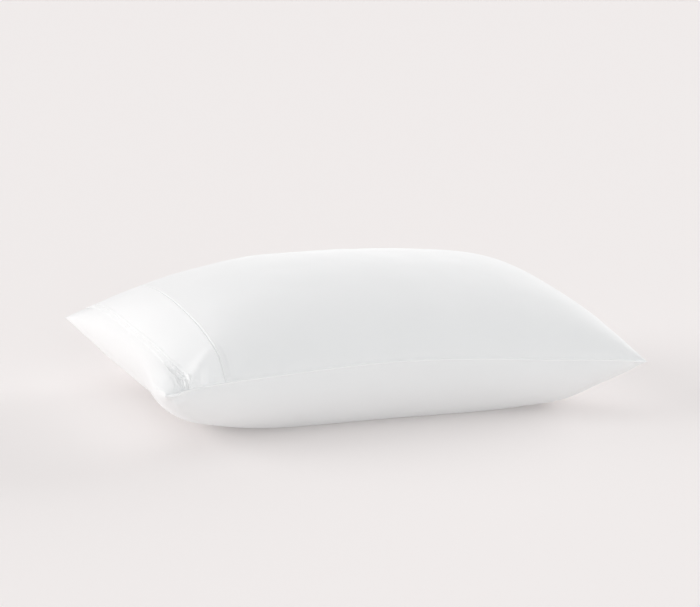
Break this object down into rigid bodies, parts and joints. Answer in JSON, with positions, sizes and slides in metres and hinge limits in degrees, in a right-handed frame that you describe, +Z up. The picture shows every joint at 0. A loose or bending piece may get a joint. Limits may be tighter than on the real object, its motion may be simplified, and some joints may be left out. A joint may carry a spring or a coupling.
{
  "type": "filled bed pillow in a zipped pillow protector",
  "caption": "Plump rectangular bed pillow closed in a plain cloth protector, with drawn-in sides, pointed corners, a separate end band and a zip flap across the closing end.",
  "frame": {"origin": "centre of the pillow's footprint, on the surface that it rests on", "axes": "+X along the pillow, from the closing end with the band to the plain end; +Y across it; +Z up"},
  "size_m": [0.636, 0.456, 0.1881],
  "materials": {
    "case_cloth": "matt, fine plain weave",
    "band_cloth": "matt, fine plain weave",
    "flap_cloth": "matt, fine plain weave"
  },
  "bodies": {
    "root": {"pillow_body": "case_cloth", "end_band": "band_cloth", "zip_flap": "flap_cloth"}
  },
  "joints": []
}
